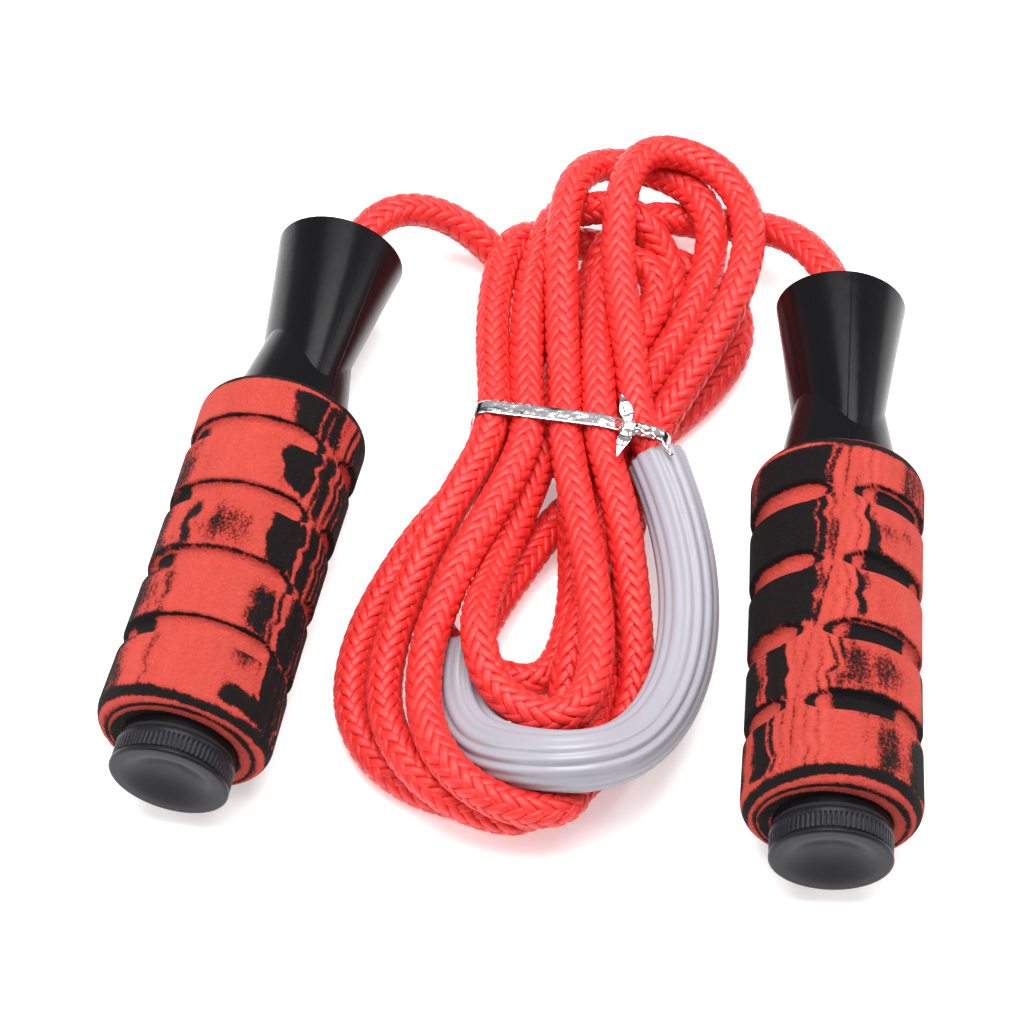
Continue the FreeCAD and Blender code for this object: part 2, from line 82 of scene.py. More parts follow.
def quad_mesh(name, points, quads):
    """A smooth mesh from arrays of points (metres) and quads."""
    mesh = bpy.data.meshes.new(name)
    mesh.vertices.add(len(points))
    mesh.vertices.foreach_set("co", np.asarray(points, np.float32).ravel())
    mesh.loops.add(len(quads) * 4)
    mesh.loops.foreach_set("vertex_index", np.asarray(quads, np.int32).ravel())
    mesh.polygons.add(len(quads))
    mesh.polygons.foreach_set("loop_start", np.arange(len(quads), dtype=np.int32) * 4)
    mesh.polygons.foreach_set("use_smooth", np.ones(len(quads), bool))
    mesh.update(calc_edges=True)
    return mesh


def grid_object(name, grid, round_ring=True, round_path=False):
    """An object from an array of rings of points, in metres."""
    rings, sides = grid.shape[:2]
    return link(name, quad_mesh(name, grid.reshape(-1, 3), grid_faces(rings, sides, round_ring, round_path)))


def resampled(line, step):
    """Points evenly spaced along a polyline."""
    gaps = np.linalg.norm(np.diff(line, axis=0), axis=1)
    along = np.concatenate([[0], np.cumsum(gaps)])
    count = int(round(along[-1] / step)) + 1
    wanted = np.linspace(0, along[-1], count)
    return np.stack([np.interp(wanted, along, line[:, k]) for k in range(3)], 1)


def smoothed(line, times):
    """A polyline with its inner points averaged with their neighbours."""
    line = line.copy()
    for _ in range(times):
        line[1:-1] = 0.25 * line[:-2] + 0.5 * line[1:-1] + 0.25 * line[2:]
    return line


def frames_along(line):
    """Unit tangents and two unit normals that don't twist, at each point of a polyline."""
    tangent = np.gradient(line, axis=0)
    tangent /= np.linalg.norm(tangent, axis=1)[:, None]
    first = np.zeros_like(line)
    normal = np.cross(tangent[0], (0, 0, 1.0))
    for index, forward in enumerate(tangent):
        normal = normal - forward * (normal @ forward)
        normal /= np.linalg.norm(normal)
        first[index] = normal
    return tangent, first, np.cross(tangent, first)


def round_tube(line, radius, sides):
    """Rings of points round a polyline; radius is a number, or an array of rings by sides."""
    _, first, second = frames_along(line)
    turn = np.arange(sides) * 2 * math.pi / sides
    outward = first[:, None] * np.cos(turn)[None, :, None] + second[:, None] * np.sin(turn)[None, :, None]
    radius = np.broadcast_to(np.asarray(radius, float), (len(line), sides))
    return line[:, None] + outward * radius[..., None]


def spline_points(points, step):
    """Evenly spaced points on a smooth spline over control points, all in millimetres."""
    data = bpy.data.curves.new("route", "CURVE")
    data.dimensions = "3D"
    data.resolution_u = 12
    spline = data.splines.new("NURBS")
    spline.points.add(len(points) - 1)
    for point, place in zip(spline.points, points):
        point.co = (place[0] * MM, place[1] * MM, place[2] * MM, 1)
    spline.order_u = 3
    spline.use_endpoint_u = True
    route = link_curve("route", data)
    bpy.context.view_layer.update()
    mesh = bpy.data.meshes.new_from_object(route)
    line = np.array([v.co for v in mesh.vertices], float) / MM
    bpy.data.objects.remove(route)
    bpy.data.meshes.remove(mesh)
    return resampled(line, step)


def link_curve(name, data):
    """A new curve object in the scene."""
    made = bpy.data.objects.new(name, data)
    scene.collection.objects.link(made)
    return made


# ---------------------------------------------------------------- route of the rope
ROPE_DIAMETER = 8.5
ROPE_RADIUS = ROPE_DIAMETER / 2
SLEEVE_RADIUS = 7.0
TIE_Y = 34.1
LAYER = {"top": 17.5, "middle": 10.9, "low": 4.25}
LIMB_PITCH = 8.4
FIRST_LIMB_X = {"top": -6.6, "middle": -2.6, "low": -6.6}

LEFT_LEAD = [
    (-54.228, 33.277, 20), (-48.717, 57.149, 20), (-40.5, 82, 20), (-36, 93.5, 20), (-26, 99, 18.5),
    (-14, 98.5, 14), (-4, 93, 9.5), (5, 84, 7), (8, 71, 4.5), (3, 57, 4.3), (-3, 44, 4.3),
]
RIGHT_LEAD = [
    (73.039, 16.212, 20), (74.748, 40.652, 20), (77.5, 66, 20), (73.5, 79, 20), (67, 89.5, 18), (57, 97, 14),
    (45, 101, 10), (33, 102, 8), (22, 94, 5), (15, 76, 4.5), (9, 56, 7),
]

# Each loop: the limbs it starts and ends at, up (+1) or down (-1) from the tie, how far it reaches, how much
# its left and right sides swell, how far its end leans over, how pear-shaped it is, and its height at a
# quarter, half and three quarters of the way. Reach, swells, lean and pear began as a scratch fit to the rope's
# visible runs; more than half of them are still its results, rounded, and the rest was set by hand.
LOOPS = {
    "low_outer": (("low", 0), ("top", 3), -1, 98, -37, 19, -7, 0.6, (4.3, 4.3, 12)),
    "low_inner": (("middle", 0), ("middle", 2), -1, 65.5, -25, 5, -1, 0.4, (9, 4.5, 5)),
    "low_left": (("top", 0), ("middle", 3), -1, 103.5, -33, 1, -3, 0.75, (11, 9, 6)),
    "low_long": (("top", 1), ("middle", 4), -1, 103, -27, 0, -10, 0.95, (17.5, 13, 7)),
    "low_middle": (("top", 2), ("middle", 1), -1, 84, 8, -19.5, 1, 1.0, (17.5, 17.5, 16)),
    "low_sleeve": (("low", 4), ("top", 4), -1, 99, -28, 23, -19, 0.45, (7.5, 15, 16.5)),
    "high_outer": (("top", 4), ("middle", 4), 1, 78.5, -8, 24, 4.5, 0.6, (19.5, 20, 19.5)),
    "high_second": (("top", 2), ("middle", 3), 1, 80, -9.5, 25, 7, 0.85, (17.5, 14, 12)),
    "high_small": (("top", 3), ("middle", 2), 1, 52, -2, 15, 6, 1.4, (16, 10, 10)),
    "high_left": (("top", 0), ("low", 4), 1, 64, -7, 40, -3.5, 0.45, (16, 5, 4.5)),
    "high_hidden": (("top", 1), ("middle", 0), 1, 67, -4, 33, 10, 0.3, (17.5, 9, 5)),
}
# The order in which one rope runs through them; False is from its end to its start.
WINDING = [
    ("low_outer", True), ("high_small", True), ("low_inner", False), ("high_hidden", False),
    ("low_long", True), ("high_outer", False), ("low_sleeve", False), ("high_left", False),
    ("low_left", True), ("high_second", False), ("low_middle", True),
]
LOOP_STEPS = 12


def limb(place):
    """Where a limb passes through the tie."""
    layer, number = place
    return FIRST_LIMB_X[layer] + LIMB_PITCH * number, LAYER[layer]


def loop_points(start, end, way, reach, left, right, lean, pear, heights):
    """Control points of one loop, from one limb in the tie out and back to another."""
    (start_x, start_z), (end_x, end_z) = limb(start), limb(end)
    turn = np.linspace(0, 2 * math.pi, LOOP_STEPS + 1)
    depth = (1 - np.cos(turn)) / 2
    swell = np.abs(np.sin(turn)) * depth ** pear
    fine = np.linspace(0, math.pi, 200)
    widest = np.max(np.sin(fine) * ((1 - np.cos(fine)) / 2) ** pear)
    side = np.where(turn < math.pi, left, right)
    x = start_x + (end_x - start_x) * turn / (2 * math.pi) + lean * depth + side * swell / widest
    y = TIE_Y + way * reach * depth
    quarters = np.array([0, 0.5, 1, 1.5, 2]) * math.pi
    z = np.interp(turn, quarters, [start_z, *heights, end_z])
    return np.stack([x, y, z], 1)


def rope_route():
    """Control points of the whole rope, and the number of the first point of each loop."""
    points = list(LEFT_LEAD)
    starts = {}
    for number, (name, forward) in enumerate(WINDING):
        loop = loop_points(*LOOPS[name])
        if not forward:
            loop = loop[::-1]
        starts[name] = len(points)
        points += [tuple(p) for p in (loop if number == 0 else loop[1:])]
    points += RIGHT_LEAD[::-1]
    return points, starts


SETTLE_STEP = 3.0
SETTLE_ROUNDS = 220
# Points of the line that are this near along it don't push each other.
NEAR_ALONG = 6
# The line's ends are held in their crimp cups, and free only this many points on.
HELD_POINTS = 12.0
# The share of an overlap that one round pushes apart, the part of it in plan, and the most a point moves.
PUSH_SHARE = 0.3
PLAN_SHARE = 0.45
LARGEST_PUSH = 1.2
# How much each round evens out the shift along the line, and how much of it stays in plan and in height.
EVENING = 0.3
KEPT_IN_PLAN = 0.985
KEPT_IN_HEIGHT = 0.997
FLOOR_GAP = 0.05


def settled(line, radius):
    """The line with its turns pushed off each other and off the floor, keeping close to where it was laid."""
    laid = line.copy()
    shift = np.zeros_like(line)
    count = len(line)
    index = np.arange(count)
    apart = np.abs(index[:, None] - index[None]) > NEAR_ALONG
    need = radius[:, None] + radius[None]
    hold = np.clip(np.minimum(index, index[::-1]) / HELD_POINTS, 0, 1)[:, None]
    for _ in range(SETTLE_ROUNDS):
        now = laid + shift
        gap = now[:, None] - now[None]
        far = np.sqrt((gap ** 2).sum(2)) + 1e-6
        over = np.where(apart & (far < need), need - far, 0)
        push = (gap / far[..., None] * over[..., None]).sum(1) * PUSH_SHARE
        push[:, :2] *= PLAN_SHARE
        shift += np.clip(push, -LARGEST_PUSH, LARGEST_PUSH)
        shift[1:-1] += EVENING * (0.5 * (shift[:-2] + shift[2:]) - shift[1:-1])
        shift[:, :2] *= KEPT_IN_PLAN
        shift[:, 2] *= KEPT_IN_HEIGHT
        shift *= hold
        shift[:, 2] = np.maximum(shift[:, 2], radius - laid[:, 2] + FLOOR_GAP)
    return laid + shift


route, loop_starts = rope_route()
coarse = spline_points(route, SETTLE_STEP)


def nearest(line, place, low=0, high=None):
    """Number of the point of a line that is nearest a place."""
    part = line[low:high]
    return low + int(np.argmin(((part - np.array(place)) ** 2).sum(1)))


# The tie squeezes the limbs by this share, fading over this distance.
SQUEEZE = 0.16
SQUEEZE_REACH = 14.0
SLEEVE_START = (32.9, 24.1, 17)
SLEEVE_END = (-16, -23, 11)
around = nearest(coarse, route[loop_starts["low_sleeve"] + LOOP_STEPS // 2])
sleeve_from = nearest(coarse, SLEEVE_START, around - 40, around)
sleeve_to = nearest(coarse, SLEEVE_END, around, around + 40)
squeeze = SQUEEZE * np.exp(-((coarse[:, 1] - TIE_Y) / SQUEEZE_REACH) ** 2)
thickness = ROPE_RADIUS * (1 - squeeze)
thickness[sleeve_from:sleeve_to + 1] = SLEEVE_RADIUS
lying = smoothed(settled(coarse, thickness), 2)
RING_STEP = 0.95
rope_line = resampled(smoothed(resampled(lying, RING_STEP), 6), RING_STEP)

# ---------------------------------------------------------------- braid
CORE_RADIUS = 3.2
CORE_SIDES = 8
CARRIERS_EACH_WAY = 8
HELIX_PITCH = 27.0
WEAVE_RADIUS = 3.36
WEAVE_DEPTH = 0.25
YARN_HALF_WIDTH = 1.27
YARN_HALF_THICKNESS = 0.6
YARN_SIDES = 6
# How squarely each yarn steps between over and under.
WEAVE_SHARPNESS = 1.5


def yarns(line, numbers, way):
    """Rings of points of some of the yarns, each over two and under two that are wound the other way."""
    tangent, first, second = frames_along(line)
    along = np.arange(len(line)) * RING_STEP
    corner = np.arange(YARN_SIDES) * 2 * math.pi / YARN_SIDES
    made = []
    for number in numbers:
        turn = way * 2 * math.pi * along / HELIX_PITCH + number * 2 * math.pi / CARRIERS_EACH_WAY
        lift = np.clip(WEAVE_SHARPNESS * np.cos(CARRIERS_EACH_WAY / 2 * turn - math.pi / 4), -1, 1) * way
        radius = WEAVE_RADIUS + WEAVE_DEPTH * lift
        outward = first * np.cos(turn)[:, None] + second * np.sin(turn)[:, None]
        round_it = second * np.cos(turn)[:, None] - first * np.sin(turn)[:, None]
        middle = line + outward * radius[:, None]
        slope = way * 2 * math.pi * radius / HELIX_PITCH
        ahead = tangent + round_it * slope[:, None]
        ahead /= np.linalg.norm(ahead, axis=1)[:, None]
        aside = np.cross(ahead, outward)
        wide = aside[:, None] * np.cos(corner)[None, :, None] * YARN_HALF_WIDTH
        high = outward[:, None] * np.sin(corner)[None, :, None] * YARN_HALF_THICKNESS
        made.append(middle[:, None] + wide + high)
    return made


def joined_grids(name, grids):
    """One object from several grids of rings."""
    points, quads, first = [], [], 0
    for grid in grids:
        rings, sides = grid.shape[:2]
        points.append(grid.reshape(-1, 3))
        quads.append(grid_faces(rings, sides, True, False, first))
        first += rings * sides
    return link(name, quad_mesh(name, np.concatenate(points), np.concatenate(quads)))


core = grid_object("rope_core", round_tube(rope_line, CORE_RADIUS, CORE_SIDES) * MM)
braid = []
for way, label in ((1, "right"), (-1, "left")):
    for half in (0, 1):
        chosen = range(half * CARRIERS_EACH_WAY // 2, (half + 1) * CARRIERS_EACH_WAY // 2)
        grids = [grid * MM for grid in yarns(rope_line, chosen, way)]
        braid.append(joined_grids(f"braid_{label}_{half + 1}", grids))

# ---------------------------------------------------------------- sleeve
SLEEVE_WALL = 0.9
FLUTES = 15
FLUTE_DEPTH = 0.85
FLUTE_TWIST = 0.9
SLEEVE_SIDES = 96
SLEEVE_INSET = 0.1
SLEEVE_EVENING = 30
sleeve_first = nearest(rope_line, lying[sleeve_from])
sleeve_last = nearest(rope_line, lying[sleeve_to])
sleeve_line = smoothed(rope_line[sleeve_first:sleeve_last + 1], SLEEVE_EVENING)
flute_turn = np.arange(SLEEVE_SIDES) * 2 * math.pi / SLEEVE_SIDES
flute_phase = flute_turn[None] + FLUTE_TWIST * np.linspace(0, 1, len(sleeve_line))[:, None]
uneven = 0.68 + 0.32 * np.cos(4 * flute_phase + 1)
fluted = SLEEVE_RADIUS - SLEEVE_INSET - FLUTE_DEPTH * uneven * (1 - np.abs(np.cos(FLUTES * flute_phase / 2)))
outside = round_tube(sleeve_line, fluted, SLEEVE_SIDES)
inside = round_tube(sleeve_line, fluted - SLEEVE_WALL, SLEEVE_SIDES)
sleeve = grid_object("sleeve_fluted", np.concatenate([outside, inside[::-1]]) * MM, True, True)
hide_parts("pvc_sleeve")

# ---------------------------------------------------------------- foil tie
BAND_PLACE = (-10.4, 32.8)
BAND_TURN = math.radians(-10)
BAND_WIDTH = 3.6
# The band goes round the limbs between these places across it, found in a slice this far to each side.
BAND_SPAN = (-8, 56)
BAND_SLICE = 1.2
BAND_CLEARANCE = 0.25
BAND_STEP = 0.5
FOIL_THICKNESS = 0.12
KNOT = (25.0, 26.4)
KNOT_RADIUS = 2.3
KNOT_SQUASH = 0.8
KNOT_SEED = 0.4


def hull(points):
    """Convex outline of points in a plane, anticlockwise."""
    points = sorted(map(tuple, points))

    def half(run):
        out = []
        for p in run:
            while len(out) > 1 and ((out[-1][0] - out[-2][0]) * (p[1] - out[-2][1])
                                    - (out[-1][1] - out[-2][1]) * (p[0] - out[-2][0])) <= 0:
                out.pop()
            out.append(p)
        return out[:-1]
    return np.array(half(points) + half(points[::-1]))


def ripple(a, b, seed):
    """Smooth made-up crinkles between -1 and 1."""
    total = np.zeros(np.broadcast(a, b).shape)
    for k in range(1, 6):
        wave = np.sin(a * (1.7 * k + seed) + 2.1 * k * b + seed * k)
        total += wave * np.cos(b * (2.3 * k) - a * 0.9 * k + k) / k
    return total / 2.3


def band_line():
    """Outline that the band follows round the limbs, in the band's own plane: across, height."""
    along = np.array([math.cos(BAND_TURN), math.sin(BAND_TURN)])
    forward = np.array([-along[1], along[0]])
    local = rope_line[:, :2] - np.array(BAND_PLACE)
    depth = local @ forward - BAND_WIDTH / 2
    near = np.abs(depth) < BAND_SLICE
    across = (local @ along)[near]
    inside_band = (across > BAND_SPAN[0]) & (across < BAND_SPAN[1])
    across, height = across[inside_band], rope_line[near][inside_band][:, 2]
    turn = np.linspace(0, 2 * math.pi, 24, endpoint=False)
    reach = ROPE_RADIUS + BAND_CLEARANCE
    ring = np.concatenate([np.stack([x + reach * np.cos(turn), z + reach * np.sin(turn)], 1)
                           for x, z in zip(across, height)])
    ring[:, 1] = np.maximum(ring[:, 1], BAND_CLEARANCE)
    return hull(ring), along, forward


band_outline, band_along, band_forward = band_line()
closed = np.concatenate([band_outline, band_outline[:1]])
closed = resampled(np.stack([closed[:, 0], closed[:, 1], closed[:, 0] * 0], 1), BAND_STEP)[:-1]
BAND_ROWS = 9
rows = np.linspace(0, 1, BAND_ROWS)
station = np.arange(len(closed)) * BAND_STEP
edge = 0.5 * ripple(station[:, None], rows[None] * 0.3, 0.7)
crease = 0.16 * ripple(station[:, None] * 1.3, rows[None] * 4, 1.9)
middle_of_band = closed[:, :2].mean(0)
outward = closed[:, :2] - middle_of_band
outward /= np.linalg.norm(outward, axis=1)[:, None]
lifted = closed[:, None, :2] + outward[:, None] * (crease + 0.2)[..., None]
lifted[..., 1] = np.maximum(lifted[..., 1], FOIL_THICKNESS)
depth = (rows[None] - 0.5) * (BAND_WIDTH + 0.4 * edge) + BAND_WIDTH / 2
flat = np.array(BAND_PLACE) + lifted[..., :1] * band_along + depth[..., None] * band_forward
band_grid = np.concatenate([flat, lifted[..., 1:]], -1)
band_in = band_grid.copy()
band_in[..., 2] = np.maximum(band_in[..., 2] - FOIL_THICKNESS * outward[:, None, 1], 0.1)
band = grid_object("foil_band", np.concatenate([band_grid, band_in[:, ::-1]], 1) * MM, True, True)
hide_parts("tie_band")

knot_height = float(closed[:, 1].max()) + 0.3
knot_centre = np.array([KNOT[0], KNOT[1], knot_height + 0.9])


def crumpled_ball(centre, radius, squash, seed):
    """Rings of a crumpled ball."""
    rise = np.linspace(0.02, math.pi - 0.02, 28)[:, None]
    turn = (np.arange(40) * 2 * math.pi / 40)[None]
    size = radius * (1 + 0.16 * ripple(turn * 3, rise * 4, seed))
    x = size * np.sin(rise) * np.cos(turn)
    y = size * np.sin(rise) * np.sin(turn)
    z = size * np.cos(rise) * squash
    return np.stack([x, y, z], -1) + centre


def foil_leaf(root, tip, width, bend, seed):
    """Rings round a crinkled strip of foil that is pinched at its root and drawn to a point at its tip."""
    steps, sides = 40, 14
    t = np.linspace(0, 1, steps)
    run = tip - root
    line = root + run * t[:, None]
    line[:, 2] += bend * np.sin(math.pi * t)
    ahead = run / np.linalg.norm(run)
    aside = np.cross(ahead, (0, 0, 1.0))
    aside /= np.linalg.norm(aside)
    up = np.cross(aside, ahead)
    half = width / 2 * np.minimum(1, 0.3 + 2.2 * t) * np.minimum(1, 0.1 + 1.7 * (1 - t))
    v = np.linspace(-1, 1, sides)
    wave = 0.34 * ripple(t[:, None] * 6 + 1, v[None] * 1.8, seed) + 0.5 * np.abs(v[None]) * (1 - t[:, None])
    top = line[:, None] + aside * (half[:, None] * v[None])[..., None] + up * wave[..., None]
    return np.concatenate([top, top[:, ::-1] - up * 0.1], 1)


knot = grid_object("foil_knot", crumpled_ball(knot_centre, KNOT_RADIUS, KNOT_SQUASH, KNOT_SEED) * MM)
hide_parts("tie_knot")
LEAF_WIDTH = 3.1
# Each leaf of foil: how far its tip is from the knot, how much it bows, and the seed of its crinkles.
LEAVES = {
    "tie_flag_upper": ((-1.6, 8.2, 2.0), 0.8, 0.3),
    "tie_flag_lower": ((-3.0, -8.6, 1.2), 0.9, 1.1),
}
leaves = []
for flag, (reach, bow, seed) in LEAVES.items():
    root = knot_centre + np.array([0.0, math.copysign(0.8, reach[1]), 0.4])
    rings = foil_leaf(root, knot_centre + np.array(reach), LEAF_WIDTH, bow, seed)
    leaf = grid_object("foil_" + flag[4:], rings * MM)
    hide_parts(flag)
    leaves.append(leaf)

TAIL_SIDES = 12
TAIL_TWIST = 12
TAIL = [(1.6, -0.8, 0.4), (4.6, -2.0, 1.2), (7.4, -4.2, 1.2), (8.4, -5.8, 0.8), (9.6, -7.8, 0.6)]
tail_line = spline_points([tuple(knot_centre + np.array(p)) for p in TAIL], 0.25)
tail_share = np.linspace(0, 1, len(tail_line))[:, None]
tail_turn = (np.arange(TAIL_SIDES) * 2 * math.pi / TAIL_SIDES)[None]
twisting = tail_share * TAIL_TWIST
wide = 0.35 + 0.55 * np.clip(1.4 - 2.2 * tail_share, 0, 1)
tail_radius = 0.32 + wide * np.abs(np.cos(tail_turn - twisting)) ** 3
tail = grid_object("foil_tail", round_tube(tail_line, tail_radius, TAIL_SIDES) * MM)
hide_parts("tie_tail")

for part in [core, *braid, sleeve, band, knot, *leaves, tail]:
    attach(part, "rope")
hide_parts("rope_lead_left", "rope_lead_right", "rope_hank")


# ---------------------------------------------------------------- materials
def new_material(name, color, rough, metal=0.0, **more):
    """A material with its plain values set on the shader's own sockets."""
    made = bpy.data.materials.new(name)
    made.use_nodes = True
    shader = made.node_tree.nodes["Principled BSDF"]
    shader.inputs["Base Color"].default_value = (*color, 1)
    shader.inputs["Roughness"].default_value = rough
    shader.inputs["Metallic"].default_value = metal
    for key, value in more.items():
        shader.inputs[key.replace("_", " ")].default_value = value
    return made, made.node_tree, shader


def node(tree, kind, **values):
    """A shader node; values name its own settings or its inputs."""
    made = tree.nodes.new("ShaderNode" + kind)
    for key, value in values.items():
        if hasattr(made, key):
            setattr(made, key, value)
        else:
            made.inputs[key.replace("_", " ")].default_value = value
    return made


def noise(tree, coordinates, scale, detail=4.0, rough=0.6, stretch=(1, 1, 1)):
    """A noise texture's factor, on stretched coordinates."""
    mapping = node(tree, "Mapping")
    mapping.inputs["Scale"].default_value = stretch
    tree.links.new(coordinates, mapping.inputs["Vector"])
    made = node(tree, "TexNoise", Scale=scale, Detail=detail, Roughness=rough)
    tree.links.new(mapping.outputs["Vector"], made.inputs["Vector"])
    return made.outputs["Fac"]


def ramp(tree, factor, stops):
    """A colour ramp from (place, colour) stops."""
    made = node(tree, "ValToRGB")
    while len(made.color_ramp.elements) < len(stops):
        made.color_ramp.elements.new(0.5)
    for element, (place, color) in zip(made.color_ramp.elements, stops):
        element.position = place
        element.color = (*color, 1)
    tree.links.new(factor, made.inputs["Fac"])
    return made.outputs["Color"]


def bump(tree, shader, height, strength, distance):
    """Bump from a height."""
    made = node(tree, "Bump", Strength=strength, Distance=distance)
    tree.links.new(height, made.inputs["Height"])
    tree.links.new(made.outputs["Normal"], shader.inputs["Normal"])
    return made


def paint(obj, material):
    """Gives an object one material."""
    obj.data.materials.clear()
    obj.data.materials.append(material)


def rope_material():
    """Glossy red braided yarn."""
    made, tree, shader = new_material("rope_red", (0.74, 0.025, 0.022), 0.4)
    place = node(tree, "TexCoord").outputs["Object"]
    mottle = noise(tree, place, 420, 3.0)
    color = ramp(tree, mottle, [(0.3, (0.58, 0.012, 0.011)), (0.7, (0.80, 0.034, 0.030))])
    tree.links.new(color, shader.inputs["Base Color"])
    shader.inputs["Specular IOR Level"].default_value = 0.4
    bump(tree, shader, noise(tree, place, 2600, 2.0), 0.35, 0.0004)
    return made


def foil_material():
    """Crinkled silver foil with painted dark reflections: noise streaks darken its colour."""
    made, tree, shader = new_material("foil", (0.86, 0.86, 0.88), 0.14, 1.0)
    place = node(tree, "TexCoord").outputs["Object"]
    painted_reflection_streaks = noise(tree, place, 170, 1.5, 0.5, (0.7, 2.4, 1.4))
    # Painted reflections: where the streak noise falls in a narrow band, the foil's colour drops to near black,
    # as dark surroundings would look reflected in it.
    tone = ramp(tree, painted_reflection_streaks, [
        (0.40, (0.95, 0.95, 0.96)), (0.58, (0.78, 0.78, 0.80)), (0.64, (0.10, 0.10, 0.11)),
        (0.70, (0.85, 0.85, 0.87))])
    tree.links.new(tone, shader.inputs["Base Color"])
    bump(tree, shader, noise(tree, place, 420, 1.5, 0.5), 0.32, 0.0006)
    return made


def sleeve_material():
    """Milky clear PVC with fine drawn streaks."""
    made, tree, shader = new_material("clear_pvc_look", (0.37, 0.36, 0.41), 0.3)
    shader.inputs["Transmission Weight"].default_value = 0.22
    shader.inputs["IOR"].default_value = 1.45
    place = node(tree, "TexCoord").outputs["Object"]
    bump(tree, shader, noise(tree, place, 300, 3.0), 0.12, 0.0004)
    return made


GRIP_START = 9.3
GRIP_END = 98.5
GRIP_RADIUS = 20.0
GRIP_WAIST = 0.6
GRIP_INNER = 13.0
GRIP_END_ROUND = 5.0
GRIP_END_INSET = 3.6
GRIP_ANGLES = 240
GRIP_STATIONS = 270
GROOVES = (29.0, 47.1, 65.2, 83.3)
GROOVE_HALF = 2.8
GROOVE_DEPTH = 2.4
HANDLE_LENGTH = 148.0
SEAM_STATIONS = (10, 29, 46, 63, 81, 98)
# Mouth and yaw come from the same fit as the camera; seam is the mould seam's angle at each seam station.
HANDLES = {
    "left": {"mouth": (-43.318, 80.534, 20.0), "yaw": 13.0, "seam": (72, 70.5, 65.5, 59, 54, 50),
             "dark_lens": (-132, -108)},
    "right": {"mouth": (76.422, 64.594, 20.0), "yaw": 4.0, "seam": (-32.5, -30, -19, -7, 0, 5),
              "dark_lens": (24, 74)},
}
# Dark (positive) and light (negative) patches of the marbled foam: first and last station along the handle,
# first and last angle from the top in degrees, strength, and how soft the edge is.
PATCHES = {
    "left": [
        (84, 96, 17, 42, 0.9, 0.5), (85, 99, 45, 53, 0.9, 0.4), (70, 81, 22, 45, 1.2, 0.3),
        (66, 82, 50, 56, 1.0, 0.3), (49, 62.5, 27, 51, 1.1, 0.3), (48, 64, 56, 63, 0.9, 0.3),
        (31, 44, 28, 52, 0.5, 0.8), (30, 46, 60, 68, 1.0, 0.3), (8, 17, 27, 58, 1.0, 0.5),
        (24, 27.5, 27, 50, 0.5, 0.7), (8, 28, 56, 66, 1.1, 0.3), (0, 100, 64, 180, 0.62, 1.4),
        (0, 82, -180, -46, 0.5, 1.8), (50, 60, -34, -28, 0.9, 0.3), (30, 44, -32, -29, 0.7, 0.4),
        (8, 26, -27, -25, 0.6, 0.4), (45, 49, -60, -30, 0.8, 0.4), (27, 31, -60, -30, 0.9, 0.4),
        (93, 98, 8, 30, 0.35, 0.8), (50, 60, -20, 12, 0.22, 1.2), (96, 100, 30, 80, 0.8, 0.4),
    ],
    "right": [
        (49, 97, -180, -17, 1.2, 0.4), (66, 97, -16, -6, 0.5, 0.5), (84, 97, -30, -12, 0.8, 0.4),
        (84, 97, -100, -62, -0.5, 0.9), (47, 64, -34, -28, 0.6, 0.4), (30, 46, -180, -66, 1.1, 0.5),
        (30, 46, -50, -38, 1.2, 0.3), (30, 46, -66, -50, 0.2, 1.2), (8, 28, -64, -50, 1.0, 0.4),
        (8, 28, -180, -76, 0.5, 0.8), (8, 28, -50, -36, 0.28, 1.2), (84, 96, 38, 85, 0.3, 1.3),
        (50, 62, 11, 15, 1.0, 0.25), (66, 80, 18, 22, 0.8, 0.25), (72, 78, 22, 60, 0.2, 1.0),
        (31, 44, -6, 30, 0.3, 1.3), (34, 42, 34, 52, 0.25, 1.2), (12, 26, 18, 52, 0.3, 1.3),
        (8, 25, 57, 110, 1.1, 0.5), (28, 46, 74, 180, 0.7, 0.6), (50, 100, 110, 180, 0.5, 0.8),
        (46, 49, 30, 70, 0.8, 0.4), (64, 67, 20, 70, 0.8, 0.4), (27, 31, 10, 50, 0.8, 0.5),
    ],
}


def handle_frame(side):
    """Matrix from a handle's own frame (metres, Z from the cap's face to the mouth, X up) to the model's."""
    yaw = math.radians(HANDLES[side]["yaw"])
    along = Vector((math.sin(yaw), math.cos(yaw), 0))
    right = Vector((math.cos(yaw), -math.sin(yaw), 0))
    up = Vector((0, 0, 1))
    base = Vector(HANDLES[side]["mouth"]) - along * HANDLE_LENGTH
    made = Matrix((up, right, along)).transposed().to_4x4()
    made.translation = base * MM
    return made


def angle_from(turn, seam):
    """How far each angle is from a line, between -180 and 180 degrees."""
    return (turn - seam + 180) % 360 - 180


